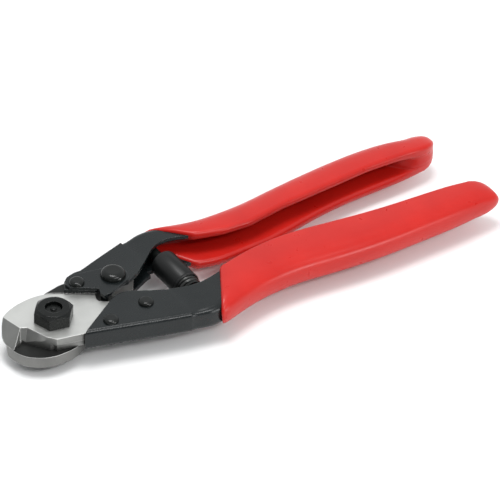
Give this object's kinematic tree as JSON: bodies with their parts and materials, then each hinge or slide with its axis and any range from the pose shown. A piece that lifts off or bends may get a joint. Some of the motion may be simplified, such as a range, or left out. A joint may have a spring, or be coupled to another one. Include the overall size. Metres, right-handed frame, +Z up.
{
  "type": "hand wire rope cutter",
  "caption": "Compact hand cutter with hooked ground jaws on a hex-nut pivot, stamped channel handles with dipped grips, a handle spring and a thumb catch.",
  "frame": {"origin": "on the pivot axis, at the underside of the pivot bolt's head, the lowest flat face", "axes": "+X from the pivot to the handle ends, +Y to the rear handle, +Z up out of the pivot nut"},
  "size_m": [0.1893, 0.0528, 0.0178],
  "materials": {
    "ground_steel": "ground satin",
    "ground_steel_side": "ground satin",
    "black_sheet": "satin black",
    "black_rivet": "satin black",
    "black_hardware": "black oxide",
    "plain_washer": "plain",
    "spring_wire": "black oxide",
    "sleeve": "satin",
    "red_vinyl": "glossy dipped vinyl"
  },
  "bodies": {
    "lower_handle": {"upper_jaw": "ground_steel", "front_frame": "black_sheet", "front_grip": "red_vinyl", "front_rivet_fore": "black_rivet", "front_rivet_aft": "black_rivet", "pivot_bolt": "black_hardware", "pivot_washer": "plain_washer", "pivot_nut": "black_hardware", "front_spring_seat": "black_hardware", "spring": "spring_wire"},
    "upper_handle": {"lower_jaw": "ground_steel_side", "rear_frame": "black_sheet", "rear_grip": "red_vinyl", "rear_rivet_aft": "black_rivet", "catch_rivet": "black_rivet", "rear_spring_seat": "black_hardware", "spring_sleeve": "sleeve"},
    "catch": {"catch_plate": "black_sheet", "catch_stud": "black_rivet"}
  },
  "joints": [
    {"name": "handle_hinge", "type": "hinge", "parent": "lower_handle", "child": "upper_handle", "pos_m": [0, 0, 0.008], "axis": [0, 0, 1], "range_deg": [0, 30], "deforming": ["spring"]},
    {"name": "catch_pivot", "type": "hinge", "parent": "upper_handle", "child": "catch", "pos_m": [0.0147, 0.0097, 0.0145], "axis": [0, 0, 1], "range_deg": [-5, 8]}
  ]
}
